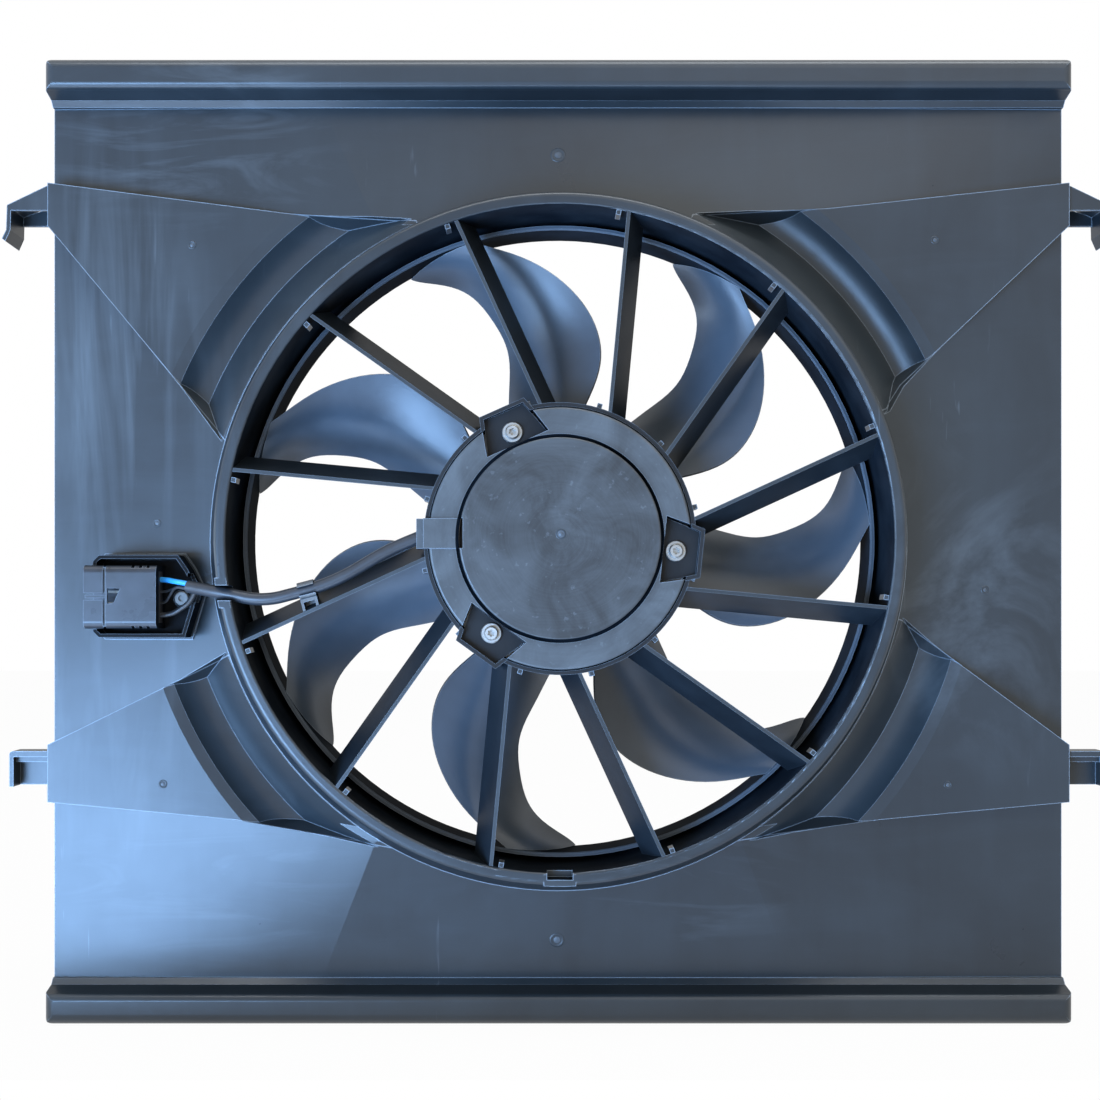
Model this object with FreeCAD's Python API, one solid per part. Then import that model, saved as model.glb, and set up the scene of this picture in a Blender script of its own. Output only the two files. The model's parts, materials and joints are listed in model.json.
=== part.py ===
import FreeCAD, Part
import math
import os

# Radiator fan with its shroud. X points to the right as seen from the motor side, Z points up,
# Y points from the motor to the radiator. The fan turns about the Y axis, the radiator
# stands at y = 0, so everything here has a y below zero. All sizes in millimetres.

os.makedirs("parts", exist_ok=True)

# Shroud moulding
half_width = 320.0
half_height = 301.0
wall = 2.5
edge_y = -15.0
table_y = -30.0
panel_at_ring_y = -33.0
panel_limit_y = -36.0
flank_top_y = -38.0
hollow_y = -18.0
plenum_y = edge_y + wall
rail_depth = 23.0
rail_face_depth = 15.0
rail_foot_y = -18.0
rail_front_y = -38.0
rail_outer_round = 7.0
rail_inner_round = 4.5
rail_end_round = 6.0
crease_top_x = 150.0
crease_low_x = 114.0
hollow_width = 19.0
hollow_reach = 41.0
hollow_side_lean = 0.45

# Duct ring
duct_radius = 200.0
duct_wall = 2.5
duct_back_y = -12.0
rim_y = -75.0
rim_width = 8.0
rim_round = 3.5
ring_spread = 11.0
ring_foot_y = -26.0
ring_end_y = -24.0
ring_rib_count = 24
ring_rib_thickness = 2.0

# Stator ribs
rib_count = 12
rib_first_angle = 18.3
rib_turn = 9.6
rib_thickness = 2.2
rib_lean = 10.0
rib_front_y = -74.0
rib_back_y = -43.0
pad_size = 3.0

# Motor carrier ring and its lugs
carrier_wall = 2.4
carrier_gap = 0.7
carrier_front_y = -74.0
carrier_back_y = -50.0
lug_first_angle = 114.0
lug_count = 3
lug_radius = 70.0
lug_front_y = -69.0
lug_outer_radius = 83.4
lug_inner_radius = 62.5
lug_outer_half = 12.8
lug_inner_half = 19.4
lug_wall_front_y = -74.5

# Motor
motor_seat_y = -60.0
plate_thickness = 6.0
motor_radius = 78.5
cover_front_y = -76.5
cover_wall = 2.0
cap_front_y = -79.0
cap_radius = 60.3
cap_groove = 2.0
notch_gap = 0.5
seal_ring_radius = 59.5
seal_ring_width = 2.6
seal_ring_depth = 2.0
bolt_radius = 3.0
bolt_length = 22.0
bolt_flange_radius = 6.3
bolt_flange_thickness = 1.6
bolt_head_height = 4.6
bolt_head_radius = 4.3
bolt_socket_radius = 2.2
sleeve_wall = 2.0
tube_radius = 15.0
tube_end_y = -26.0
bearing_radius = 11.0
bearing_width = 7.0
bearing_front_y = -58.0
bearing_rear_y = -34.0
shaft_radius = 4.0
shaft_front_y = -61.0
shaft_end_y = -15.5
inner_race_radius = 6.0
race_gap = 0.3
thread_gap = 0.05
core_radius = 48.4
core_front_y = -49.0
core_back_y = -30.0
core_tooth_count = 12
core_tooth_width = 6.0
coil_height = 2.6
board_radius = 53.0
board_y = -66.0
board_thickness = 1.6
post_radius = 3.0
post_circle = 46.0

# Rotor
cup_radius = 57.0
cup_wall = 2.5
cup_front_y = -52.0
cup_back_y = -20.5
magnet_count = 14
magnet_radius = 49.3
magnet_front_y = -50.5
magnet_back_y = -25.5
cup_boss_radius = 10.0

# Fan
blade_count = 7
hub_radius = 82.0
hub_wall = 2.5
hub_front_y = -42.0
hub_back_y = -10.0
hub_post_circle = 38.0
hub_post_radius = 7.0
hub_post_count = 4
hub_rib_count = 14
band_gap = 4.0
band_wall = 2.6
band_front_y = -38.0
band_back_y = -6.0
lip_width = 7.5
lip_thickness = 2.4
blade_thickness = 2.8
blade_camber = 5.0
blade_near_y = -36.5
blade_far_y = -7.0

# One blade, as seen from the motor side: radius, angle of the edge near the motor,
# angle of the edge near the radiator, both in degrees from the X axis
blade_stations = [
    (80.0, 80.2, 113.6),
    (90.0, 78.4, 110.2),
    (105.0, 76.9, 107.0),
    (120.0, 77.4, 104.8),
    (135.0, 80.1, 104.8),
    (150.0, 84.6, 106.4),
    (165.0, 90.7, 108.7),
    (180.0, 98.4, 113.5),
    (195.0, 106.6, 119.2),
]

# Lead, connector and bracket
sheath_radius = 3.75
wire_radius = 1.65
thin_wire_radius = 0.8
lead_clearance = 0.3
gland_left_x = -86.0
gland_right_x = -58.0
gland_low_z = -6.0
gland_high_z = 12.0
gland_front_y = -77.6
gland_back_y = -61.0
lead_y = -68.5
saddle_floor_y = -60.5
pad_y = -33.0
bracket_thickness = 2.0
bracket_wall_y = -50.0
connector_front_y = -60.5
connector_length = 44.0
connector_gap = 26.0
connector_low_z = -54.0
connector_high_z = -15.5
connector_wall = 2.6
socket_depth = 25.0
screw_gap = 13.5
screw_z = -35.5

# Hooks
hook_reach = 26.0
hook_wall = 2.6
hook_front_y = -28.0
hook_back_y = -12.0

# Sizes that follow from the ones above
rail_foot_z = half_height - rail_depth
rail_face_z = half_height - rail_face_depth
rim_radius = duct_radius + rim_width
ring_foot_radius = rim_radius + ring_spread
hollow_foot_radius = ring_foot_radius + hollow_width
table_edge_radius = ring_foot_radius + hollow_reach
band_radius = duct_radius - band_gap - band_wall
lip_radius = band_radius + band_wall + lip_width
carrier_radius = motor_radius + carrier_gap + carrier_wall
ring_foot_x = -ring_foot_radius
connector_right_x = ring_foot_x - connector_gap
connector_left_x = connector_right_x - connector_length
screw_x = ring_foot_x - screw_gap
lead_end_x = ring_foot_x - 7.0


def at(x, y, z):
    return FreeCAD.Vector(x, y, z)


def polar(radius, degrees):
    turn = math.radians(degrees)
    return (radius * math.cos(turn), radius * math.sin(turn))


def plan_wire(points, y):
    corners = [at(x, y, z) for x, z in points]
    return Part.makePolygon(corners + [corners[0]])


def plan_block(points, front, back):
    face = Part.Face(plan_wire(points, back))
    return face.extrude(at(0, front - back, 0))


def box(left, right, front, back, low, high):
    corner = at(left, front, low)
    return Part.makeBox(right - left, back - front, high - low, corner)


def disc(radius, front, back, x=0.0, z=0.0):
    return Part.makeCylinder(radius, back - front, at(x, front, z), at(0, 1, 0))


def tube(outer, inner, front, back, x=0.0, z=0.0):
    hole = disc(inner, front - 1, back + 1, x, z)
    return disc(outer, front, back, x, z).cut(hole)


def turned(points):
    corners = [at(radius, y, 0) for radius, y in points]
    face = Part.Face(Part.makePolygon(corners + [corners[0]]))
    return face.revolve(at(0, 0, 0), at(0, 1, 0), 360)


def turned_edges(edges):
    face = Part.Face(Part.Wire(edges))
    return face.revolve(at(0, 0, 0), at(0, 1, 0), 360)


def spun(shape, degrees):
    copy = shape.copy()
    copy.rotate(at(0, 0, 0), at(0, -1, 0), degrees)
    return copy


def pattern(shape, count, first=0.0):
    return [spun(shape, first + k * 360.0 / count) for k in range(count)]


def fused(shapes):
    result = shapes[0].multiFuse(shapes[1:]) if len(shapes) > 1 else shapes[0]
    return result.removeSplitter()


def mirrored(shape):
    return shape.mirror(at(0, 0, 0), at(1, 0, 0))


def offset_plan(points, distance):
    # Moves every side of a plan outline outwards by the distance and lets the sides meet again.
    count = len(points)
    area = sum(
        points[k][0] * points[(k + 1) % count][1] - points[(k + 1) % count][0] * points[k][1]
        for k in range(count)
    )
    side = 1.0 if area > 0 else -1.0
    lines = []
    for k in range(count):
        x1, z1 = points[k]
        x2, z2 = points[(k + 1) % count]
        length = math.hypot(x2 - x1, z2 - z1)
        nx = side * (z2 - z1) / length
        nz = -side * (x2 - x1) / length
        lines.append((nx, nz, nx * x1 + nz * z1 + distance))
    moved = []
    for k in range(count):
        a1, b1, c1 = lines[k - 1]
        a2, b2, c2 = lines[k]
        cross = a1 * b2 - a2 * b1
        moved.append(((c1 * b2 - c2 * b1) / cross, (a1 * c2 - a2 * c1) / cross))
    return moved


def under_facet(points, height):
    # Solid between the plane y = 0 and a flat facet whose y at each corner comes from height.
    top = [at(x, height(x, z), z) for x, z in points]
    low = [at(x, 0, z) for x, z in points]
    faces = [Part.Face(Part.makePolygon(top + [top[0]]))]
    faces.append(Part.Face(Part.makePolygon(low + [low[0]])))
    for k in range(len(points)):
        n = (k + 1) % len(points)
        faces.append(Part.Face(Part.makePolygon([top[k], top[n], low[n], low[k], top[k]])))
    solid = Part.Solid(Part.Shell(faces))
    if solid.Volume < 0:
        solid.reverse()
    return solid


def arc(first, middle, last):
    return Part.Arc(at(*first), at(*middle), at(*last)).toShape()


def line(first, last):
    return Part.LineSegment(at(*first), at(*last)).toShape()


def save(name, shape):
    solids = shape.Solids
    body = solids[0] if len(solids) == 1 else Part.makeCompound(solids)
    body.exportStep("parts/" + name + ".step")
    print(name, len(solids), round(shape.Volume / 1000.0, 2))


# Plan outlines of the four corner tables, from the hook to the middle of the duct
centre = (0.0, 0.0)
hook_high = half_height - 76.0
hook_low = half_height - 103.0
pocket_high = -127.0
pocket_low = -163.0
over_duct = ring_foot_radius - 18.5
under_duct = ring_foot_radius - 29.0
upper_left = [(-half_width, hook_high), (-168, over_duct + 5), (-89, over_duct), centre]
upper_left += [(-208.2, 63.6), (-half_width, hook_low)]
upper_right = [(half_width, hook_high), (170, over_duct + 8.5), (84, over_duct + 4), centre]
upper_right += [(204.5, 83), (214, 98), (half_width, hook_low)]
lower_left = [(-half_width, pocket_low), (-202, -174), (-99, -under_duct - 2), centre]
lower_left += [(-206, -71), (-half_width, pocket_high)]
lower_right = [(half_width, pocket_low), (201, -174), (101, 2 - under_duct), centre]
lower_right += [(214, -49), (half_width, pocket_high)]
corners = [upper_left, upper_right, lower_left, lower_right]

# Side panels: flat facets that rise from the level outer edge to the duct
side_slope = (panel_at_ring_y - edge_y) / (half_width - ring_foot_radius)
wing_slope = (panel_at_ring_y - edge_y) / (half_width - crease_low_x)
seam_inner_x = 60.0


def side_height(x, z):
    return edge_y + side_slope * (half_width - abs(x))


def wing_height(x, z):
    return edge_y + wing_slope * (half_width - abs(x))


def half_panel(side, up, seam_edge_z, seam_crease_z, seam_inner_z):
    # One end of the upper or lower panel: a twisted face between the level outer edge and the
    # crease, then the flat strip that runs under the corner table.
    out = side * half_width
    top = (side * crease_top_x, up * rail_foot_z)
    low = (side * crease_low_x, up * seam_crease_z)
    edge = [at(out, edge_y, up * rail_foot_z), at(out, edge_y, up * seam_edge_z)]
    edge += [at(out, 0, up * seam_edge_z), at(out, 0, up * rail_foot_z)]
    crease = [at(top[0], rail_foot_y, top[1]), at(low[0], panel_at_ring_y, low[1])]
    crease += [at(low[0], 0, low[1]), at(top[0], 0, top[1])]
    sections = [Part.makePolygon(points + [points[0]]) for points in (edge, crease)]
    twisted = Part.makeLoft(sections, True, True)
    seam_inner = (side * seam_inner_x, up * seam_inner_z)
    return [twisted, under_facet([(out, up * seam_edge_z), low, seam_inner], wing_height)]


facets = []
upper_seams = (hook_high - 11.0, over_duct - 2.5, over_duct - 5.5)
lower_seams = (-pocket_low - 8.0, under_duct - 3.0, under_duct - 5.0)
for side in (-1, 1):
    out = side * half_width
    plan = [(out, upper_seams[0]), (side * seam_inner_x, upper_seams[2]), centre]
    plan += [(side * seam_inner_x, -lower_seams[2]), (out, -lower_seams[0])]
    facets.append(under_facet(plan, side_height))
    facets += half_panel(side, 1, *upper_seams)
    facets += half_panel(side, -1, *lower_seams)
for up, seams in ((1, upper_seams), (-1, lower_seams)):
    crown_slope = (panel_at_ring_y - rail_foot_y) / (rail_foot_z - seams[1])

    def crown_height(x, z):
        return rail_foot_y + crown_slope * (rail_foot_z - abs(z))

    plan = [(-crease_top_x, up * rail_foot_z), (crease_top_x, up * rail_foot_z)]
    plan += [(crease_low_x, up * seams[1]), (seam_inner_x, up * seams[2])]
    plan += [(-seam_inner_x, up * seams[2]), (-crease_low_x, up * seams[1])]
    facets.append(under_facet(plan, crown_height))
panels_outer = fused(facets)
level = box(-half_width, half_width, panel_limit_y, 0, -half_height, half_height)
panels_outer = panels_outer.common(level)
panels_outer = panels_outer.fuse(box(-half_width, half_width, edge_y, 0, rail_foot_z - 1, half_height))
panels_outer = panels_outer.fuse(box(-half_width, half_width, edge_y, 0, -half_height, 1 - rail_foot_z))
inside = box(wall - half_width, half_width - wall, -150, 50, wall - half_height, half_height - wall)
panels_inner = panels_outer.copy()
panels_inner.translate(at(0, wall, 0))
below = box(wall - half_width, half_width - wall, plenum_y, 50, wall - half_height, half_height - wall)
panels_inner = panels_inner.common(inside).fuse(below)


# Rails: a rounded ridge along the top and bottom edge, hollow from behind
def rounded_ends(ends, outer):
    bend = rail_end_round
    low = bend * (1 - math.sqrt(0.5))
    front = rail_front_y
    plan = [
        line((-ends, 10, 0), (-ends, front + bend, 0)),
        arc((-ends, front + bend, 0), (low - ends, front + low, 0), (bend - ends, front, 0)),
        line((bend - ends, front, 0), (ends - bend, front, 0)),
        arc((ends - bend, front, 0), (ends - low, front + low, 0), (ends, front + bend, 0)),
        line((ends, front + bend, 0), (ends, 10, 0)),
        line((ends, 10, 0), (-ends, 10, 0)),
    ]
    across = Part.Face(Part.Wire(plan)).extrude(at(0, 0, outer + 10))
    face = [
        line((-ends, -60, 0), (-ends, -60, outer - bend)),
        arc((-ends, -60, outer - bend), (low - ends, -60, outer - low), (bend - ends, -60, outer)),
        line((bend - ends, -60, outer), (ends - bend, -60, outer)),
        arc((ends - bend, -60, outer), (ends - low, -60, outer - low), (ends, -60, outer - bend)),
        line((ends, -60, outer - bend), (ends, -60, 0)),
        line((ends, -60, 0), (-ends, -60, 0)),
    ]
    return across.common(Part.Face(Part.Wire(face)).extrude(at(0, 80, 0)))


def rail_block(inset, up):
    ends = half_width - inset
    outer = half_height - inset
    front = rail_front_y + inset
    big = rail_outer_round - inset
    small = rail_inner_round - inset
    z_big = outer - big
    z_small = rail_face_z
    mid = math.sqrt(0.5)
    z_in = z_small - small
    foot_z = rail_foot_z + 1.0 + inset
    toe_z = rail_foot_z - 2.5 + inset
    path = [
        line((-ends, 0, outer), (-ends, front + big, outer)),
        arc(
            (-ends, front + big, outer),
            (-ends, front + big - big * mid, z_big + big * mid),
            (-ends, front, z_big),
        ),
        line((-ends, front, z_big), (-ends, front, z_small)),
        arc(
            (-ends, front, z_small),
            (-ends, front + small - small * mid, z_small - small * mid),
            (-ends, front + small, z_in),
        ),
        line((-ends, front + small, z_in), (-ends, rail_foot_y - 4.0 + inset, foot_z)),
        line((-ends, rail_foot_y - 4.0 + inset, foot_z), (-ends, rail_foot_y - 0.5 + inset, toe_z)),
        line((-ends, rail_foot_y - 0.5 + inset, toe_z), (-ends, 0, toe_z)),
        line((-ends, 0, toe_z), (-ends, 0, outer)),
    ]
    block = Part.Face(Part.Wire(path)).extrude(at(2 * ends, 0, 0))
    if inset == 0:
        block = block.common(rounded_ends(ends, outer))
    if up < 0:
        block = block.mirror(at(0, 0, 0), at(0, 0, 1))
    return block


# Corner tables, flush with the outer edge, level with the hooks
tables_outer = [plan_block(outline, table_y, 0) for outline in corners]
tables_inner = [plan_block(offset_plan(outline, -wall), table_y + wall, 50) for outline in corners]


# Hollows between the tables and the duct: the floor falls from the table to a foot and
# climbs again as a steep flank to the duct ring
def hollow_tool(grow, outline):
    sides = []
    for y in (-8.0, -95.0):
        shift = (table_y - y) * hollow_side_lean + grow
        sides.append(plan_wire(offset_plan(outline, shift), y + grow))
    pyramid = Part.makeLoft(sides, True, True)
    start = (table_edge_radius + 4, table_y + grow, 0)
    bend = (table_edge_radius - 3, table_y + 1.6 + grow, 0)
    foot = (hollow_foot_radius, hollow_y + grow, 0)
    sag = (hollow_foot_radius + 8.5, hollow_y - 2.6 + grow, 0)
    flank = (ring_foot_radius - 4, flank_top_y + grow, 0)
    inner = (ring_foot_radius - 17, -95, 0)
    far = (430, -95, 0)
    rim = (430, table_y + grow, 0)
    edges = [
        line(start, bend),
        arc(bend, sag, foot),
        line(foot, flank),
        line(flank, inner),
        line(inner, far),
        line(far, rim),
        line(rim, start),
    ]
    return turned_edges(edges).common(pyramid)


hollows_outer = [hollow_tool(0.0, outline) for outline in corners]
hollows_inner = [hollow_tool(wall, outline) for outline in corners]

# Connector pad on the left panel
pad_left_x = connector_left_x + 1.5
pad_outline = [
    (pad_left_x, -12), (pad_left_x + 4.5, -7.5), (ring_foot_x - 14.0, -7.5),
    (ring_foot_x - 7.5, -17), (ring_foot_x - 0.5, -31), (ring_foot_x - 9.5, -61),
    (pad_left_x + 4.5, -61), (pad_left_x, -56.5),
]
pad_outer = plan_block(pad_outline, pad_y, 0)
pad_inner = plan_block(offset_plan(pad_outline, -wall), pad_y + wall, 50)

solid_outer = fused([panels_outer, rail_block(0.0, 1), rail_block(0.0, -1), pad_outer] + tables_outer)
solid_outer = solid_outer.cut(fused(hollows_outer))
solid_inner = fused([panels_inner, rail_block(wall, 1), rail_block(wall, -1), pad_inner] + tables_inner)
solid_inner = solid_inner.cut(fused(hollows_inner))
ring_core = turned([
    (0, -100),
    (rim_radius, -100),
    (rim_radius, rim_y + rim_round),
    (ring_foot_radius, ring_foot_y),
    (ring_foot_radius, 60),
    (0, 60),
])
shell = solid_outer.cut(solid_inner).cut(ring_core)

# The moulding is kept as eight nodes that meet face to face along the table outlines
for name, outline in (
    ("corner_upper_left", upper_left),
    ("corner_upper_right", upper_right),
    ("corner_lower_left", lower_left),
    ("corner_lower_right", lower_right),
):
    save(name, shell.common(plan_block(outline, -120, 20)))
top_plan = [(-half_width, half_height), (half_width, half_height)]
top_plan += [upper_right[0], upper_right[1], upper_right[2], centre]
top_plan += [upper_left[2], upper_left[1], upper_left[0]]
bottom_plan = [(-half_width, -half_height), (half_width, -half_height)]
bottom_plan += [lower_right[0], lower_right[1], lower_right[2], centre]
bottom_plan += [lower_left[2], lower_left[1], lower_left[0]]
left_plan = [upper_left[5], upper_left[4], centre, lower_left[4], lower_left[5]]
right_plan = [upper_right[6], upper_right[5], upper_right[4], centre, lower_right[4], lower_right[5]]
shroud_top = shell.common(plan_block(top_plan, -120, 20))
shroud_bottom = shell.common(plan_block(bottom_plan, -120, 20))
rail_cut_z = rail_foot_z - 2.5
upper_rail_space = box(-400, 400, -120, 20, rail_cut_z, 400)
lower_rail_space = box(-400, 400, -120, 20, -400, -rail_cut_z)
save("rail_top", shroud_top.common(upper_rail_space))
save("rail_bottom", shroud_bottom.common(lower_rail_space))
save("shroud_top", shroud_top.cut(upper_rail_space))
save("shroud_bottom", shroud_bottom.cut(lower_rail_space))
save("shroud_right", shell.common(plan_block(right_plan, -120, 20)))
shroud_left = shell.common(plan_block(left_plan, -120, 20))

# Duct ring: rim and two walls, open from behind, with ribs between the walls
mid = math.sqrt(0.5)
inner_round = 1.5
rim_edges = [
    line((duct_radius, duct_back_y, 0), (duct_radius, rim_y + inner_round, 0)),
    arc(
        (duct_radius, rim_y + inner_round, 0),
        (duct_radius + inner_round * (1 - mid), rim_y + inner_round * (1 - mid), 0),
        (duct_radius + inner_round, rim_y, 0),
    ),
    line((duct_radius + inner_round, rim_y, 0), (rim_radius - rim_round, rim_y, 0)),
    arc(
        (rim_radius - rim_round, rim_y, 0),
        (rim_radius - rim_round * (1 - mid), rim_y + rim_round * (1 - mid), 0),
        (rim_radius, rim_y + rim_round, 0),
    ),
    line((rim_radius, rim_y + rim_round, 0), (ring_foot_radius, ring_foot_y, 0)),
    line((ring_foot_radius, ring_foot_y, 0), (ring_foot_radius, ring_end_y, 0)),
    line((ring_foot_radius, ring_end_y, 0), (ring_foot_radius - duct_wall, ring_end_y, 0)),
    line((ring_foot_radius - duct_wall, ring_end_y, 0), (rim_radius - duct_wall, rim_y + duct_wall, 0)),
    line((rim_radius - duct_wall, rim_y + duct_wall, 0), (duct_radius + duct_wall, rim_y + duct_wall, 0)),
    line((duct_radius + duct_wall, rim_y + duct_wall, 0), (duct_radius + duct_wall, duct_back_y, 0)),
    line((duct_radius + duct_wall, duct_back_y, 0), (duct_radius, duct_back_y, 0)),
]
duct_ring = turned_edges(rim_edges)
channel = turned([
    (duct_radius + duct_wall, rim_y + duct_wall),
    (rim_radius - duct_wall, rim_y + duct_wall),
    (rim_radius - duct_wall + 6, -47),
    (duct_radius + duct_wall, -47),
])
ring_rib = box(duct_radius, rim_radius + 10, rim_y, -47, -ring_rib_thickness / 2, ring_rib_thickness / 2)
ring_ribs = [rib.common(channel) for rib in pattern(ring_rib, ring_rib_count, 7.5)]
duct_ring = duct_ring.multiFuse(ring_ribs)

# Cable saddle on the left of the rim: a filled block with a round-bottomed groove
saddle_z = -32.5
ring_space = turned([
    (duct_radius + 1, rim_y),
    (rim_radius, rim_y),
    (ring_foot_radius, ring_foot_y),
    (duct_radius + 1, ring_foot_y),
])
saddle_in_x = 10 - duct_radius
saddle_out_x = -ring_foot_radius - 10
saddle = box(saddle_out_x, saddle_in_x, rim_y, saddle_floor_y + 6, saddle_z - 9, saddle_z + 9)
saddle = saddle.common(ring_space)
groove_radius = sheath_radius + 0.75
groove_axis_y = saddle_floor_y - groove_radius
groove_start = at(saddle_out_x, groove_axis_y, saddle_z)
groove = Part.makeCylinder(groove_radius, saddle_in_x - saddle_out_x, groove_start, at(1, 0, 0))
groove = groove.fuse(box(
    saddle_out_x, saddle_in_x, rim_y - 5, groove_axis_y,
    saddle_z - groove_radius, saddle_z + groove_radius,
))

# Drain notch at the bottom of the rim
notch_half = 7.7
notch_floor_y = -64.0
notch_fill = box(
    -notch_half - 2, notch_half + 2, rim_y, notch_floor_y + 2.5,
    -ring_foot_radius, 10 - duct_radius,
)
notch_fill = notch_fill.common(ring_space)
drain_notch = box(-notch_half, notch_half, rim_y - 5, notch_floor_y, 4 - rim_radius, 10 - duct_radius)
duct_ring = duct_ring.fuse(saddle).fuse(notch_fill).cut(groove).cut(drain_notch)

# Stator ribs: thin plates that lean over, from the carrier ring to the duct wall
between = tube(duct_radius, carrier_radius, rib_front_y - 5, rib_back_y + 5)


def stator_rib(angle):
    outer_x, outer_z = polar(duct_radius + 6, angle + 0.3)
    inner_x, inner_z = polar(carrier_radius - 4, angle - rib_turn - 0.3)
    length = math.hypot(outer_x - inner_x, outer_z - inner_z)
    along = at((outer_x - inner_x) / length, 0, (outer_z - inner_z) / length)
    across = at(along.z, 0, -along.x)
    start = at(inner_x, 0, inner_z)
    profile = []
    for shift, y in (
        (0.0, rib_front_y),
        (rib_thickness, rib_front_y),
        (rib_thickness + rib_lean, rib_back_y),
        (rib_lean, rib_back_y),
    ):
        profile.append(start + across * shift + at(0, y, 0))
    plate = Part.Face(Part.makePolygon(profile + [profile[0]])).extrude(along * length)
    return plate.common(between)


ribs = [stator_rib(rib_first_angle + k * 360.0 / rib_count) for k in range(rib_count)]

# Motor carrier ring with three lugs and a gap for the lead
lug_outline = [
    (-lug_inner_half, lug_inner_radius),
    (-lug_outer_half, lug_outer_radius),
    (lug_outer_half, lug_outer_radius),
    (lug_inner_half, lug_inner_radius),
]
lug_space = [
    (-lug_inner_half - 0.6, lug_inner_radius - 1.7),
    (-lug_outer_half, lug_outer_radius),
    (lug_outer_half, lug_outer_radius),
    (lug_inner_half + 0.6, lug_inner_radius - 1.7),
]
lug = plan_block(lug_outline, lug_front_y, motor_seat_y)
lug_wall = plan_block(offset_plan(lug_outline, carrier_wall), lug_wall_front_y, motor_seat_y)
lug_wall = lug_wall.cut(plan_block(lug_space, -100, 0))
lug_wall = lug_wall.cut(disc(motor_radius + notch_gap, -100, 0))
lug_hole = disc(bolt_radius + 0.4 + sleeve_wall, -100, 0, 0, lug_radius)
lugs = [spun(lug.fuse(lug_wall).cut(lug_hole), lug_first_angle - 90 + k * 120) for k in range(lug_count)]
lug_spaces = [
    spun(plan_block(lug_space, -100, motor_seat_y), lug_first_angle - 90 + k * 120) for k in range(lug_count)
]
carrier = tube(carrier_radius, carrier_radius - carrier_wall, carrier_front_y, carrier_back_y)
for space in lug_spaces:
    carrier = carrier.cut(space)
carrier = carrier.multiFuse(lugs)
gland_gap = box(-90, -60, -100, gland_back_y, gland_low_z, gland_high_z)
carrier = carrier.cut(gland_gap)
save("motor_carrier", carrier)
ribs = [rib.cut(carrier).cut(gland_gap) for rib in ribs]

# Rib root pads: small upright posts beside each end of a rib
pads = []
for k in range(rib_count):
    angle = rib_first_angle + k * 360.0 / rib_count
    outer_pad = box(duct_radius - pad_size, duct_radius + 1, rim_y + 1.5, -62, -pad_size / 2, pad_size / 2)
    outer_pad = spun(outer_pad, angle + 1.5).common(disc(duct_radius, -100, 0))
    inner_pad = box(carrier_radius - 1, carrier_radius + pad_size, -72, -60, -pad_size / 2, pad_size / 2)
    inner_pad = spun(inner_pad, angle - rib_turn + 4.6).cut(disc(carrier_radius, -100, 0))
    pads.append(outer_pad)
    pads.append(inner_pad)
pads = [pad.cut(carrier).cut(duct_ring) for pad in pads]
pads = [pad for pad in pads if pad.Volume > 20]

# Motor housing: plate with bosses for the bolts and the bearing tube
housing = disc(motor_radius, motor_seat_y, motor_seat_y + plate_thickness)
housing = housing.fuse(disc(tube_radius, motor_seat_y, tube_end_y))
bosses = [disc(7.5, motor_seat_y, motor_seat_y + 16, 0, lug_radius)]
bosses = [spun(bosses[0], lug_first_angle - 90 + k * 120) for k in range(lug_count)]
posts = [disc(post_radius, board_y + board_thickness, motor_seat_y, *polar(post_circle, 30 + 120 * k)) for k in range(3)]
fins = [box(24, motor_radius - 1, motor_seat_y + plate_thickness, motor_seat_y + plate_thickness + 1.6, -1, 1)]
fins = pattern(fins[0], 24, 7.5)
housing = housing.multiFuse(bosses + posts + fins)
housing = housing.cut(disc(bearing_radius, bearing_front_y, bearing_front_y + bearing_width))
housing = housing.cut(disc(bearing_radius, bearing_rear_y, bearing_rear_y + bearing_width))
housing = housing.cut(disc(bearing_radius - 1.5, motor_seat_y - 1, tube_end_y + 1))
housing = housing.cut(disc(bearing_radius, motor_seat_y - 1, bearing_front_y))
housing = housing.cut(disc(bearing_radius, bearing_rear_y + bearing_width, tube_end_y + 1))
thread_hole = disc(bolt_radius + thread_gap, motor_seat_y - 1, motor_seat_y + 14, 0, lug_radius)
for k in range(lug_count):
    housing = housing.cut(spun(thread_hole, lug_first_angle - 90 + k * 120))
half_seal = seal_ring_width / 2
seal = tube(
    seal_ring_radius + half_seal, seal_ring_radius - half_seal, motor_seat_y, motor_seat_y + seal_ring_depth
)
housing = housing.cut(seal)
save("motor_housing", housing)
save("cover_seal", seal)

# Sleeves and bolts
sleeve = tube(bolt_radius + 0.4 + sleeve_wall, bolt_radius + 0.4, lug_front_y - 0.2, motor_seat_y, 0, lug_radius)
sleeves = [spun(sleeve, lug_first_angle - 90 + k * 120) for k in range(lug_count)]
save("compression_sleeves", Part.makeCompound(sleeves))
head_y = lug_front_y - 0.2
flange = disc(bolt_flange_radius, head_y - bolt_flange_thickness, head_y, 0, lug_radius)
head = disc(bolt_head_radius, head_y - bolt_head_height, head_y, 0, lug_radius)
head = head.makeChamfer(0.8, [e for e in head.Edges if abs(e.BoundBox.YMax - head_y + bolt_head_height) < 0.01])
flange = flange.makeChamfer(0.5, [
    e for e in flange.Edges if abs(e.BoundBox.YMax - head_y + bolt_flange_thickness) < 0.01
])
socket_front = head_y - bolt_head_height - 1
recess = disc(bolt_socket_radius * 0.78, socket_front, head_y - 1.8, 0, lug_radius)
for k in range(6):
    lobe_x, lobe_z = polar(bolt_socket_radius * 0.72, 60 * k)
    recess = recess.fuse(disc(bolt_socket_radius * 0.28, socket_front, head_y - 1.8, lobe_x, lobe_z + lug_radius))
shank = disc(bolt_radius, head_y, head_y + bolt_length, 0, lug_radius)
bolt = head.fuse(flange).fuse(shank).cut(recess)
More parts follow.
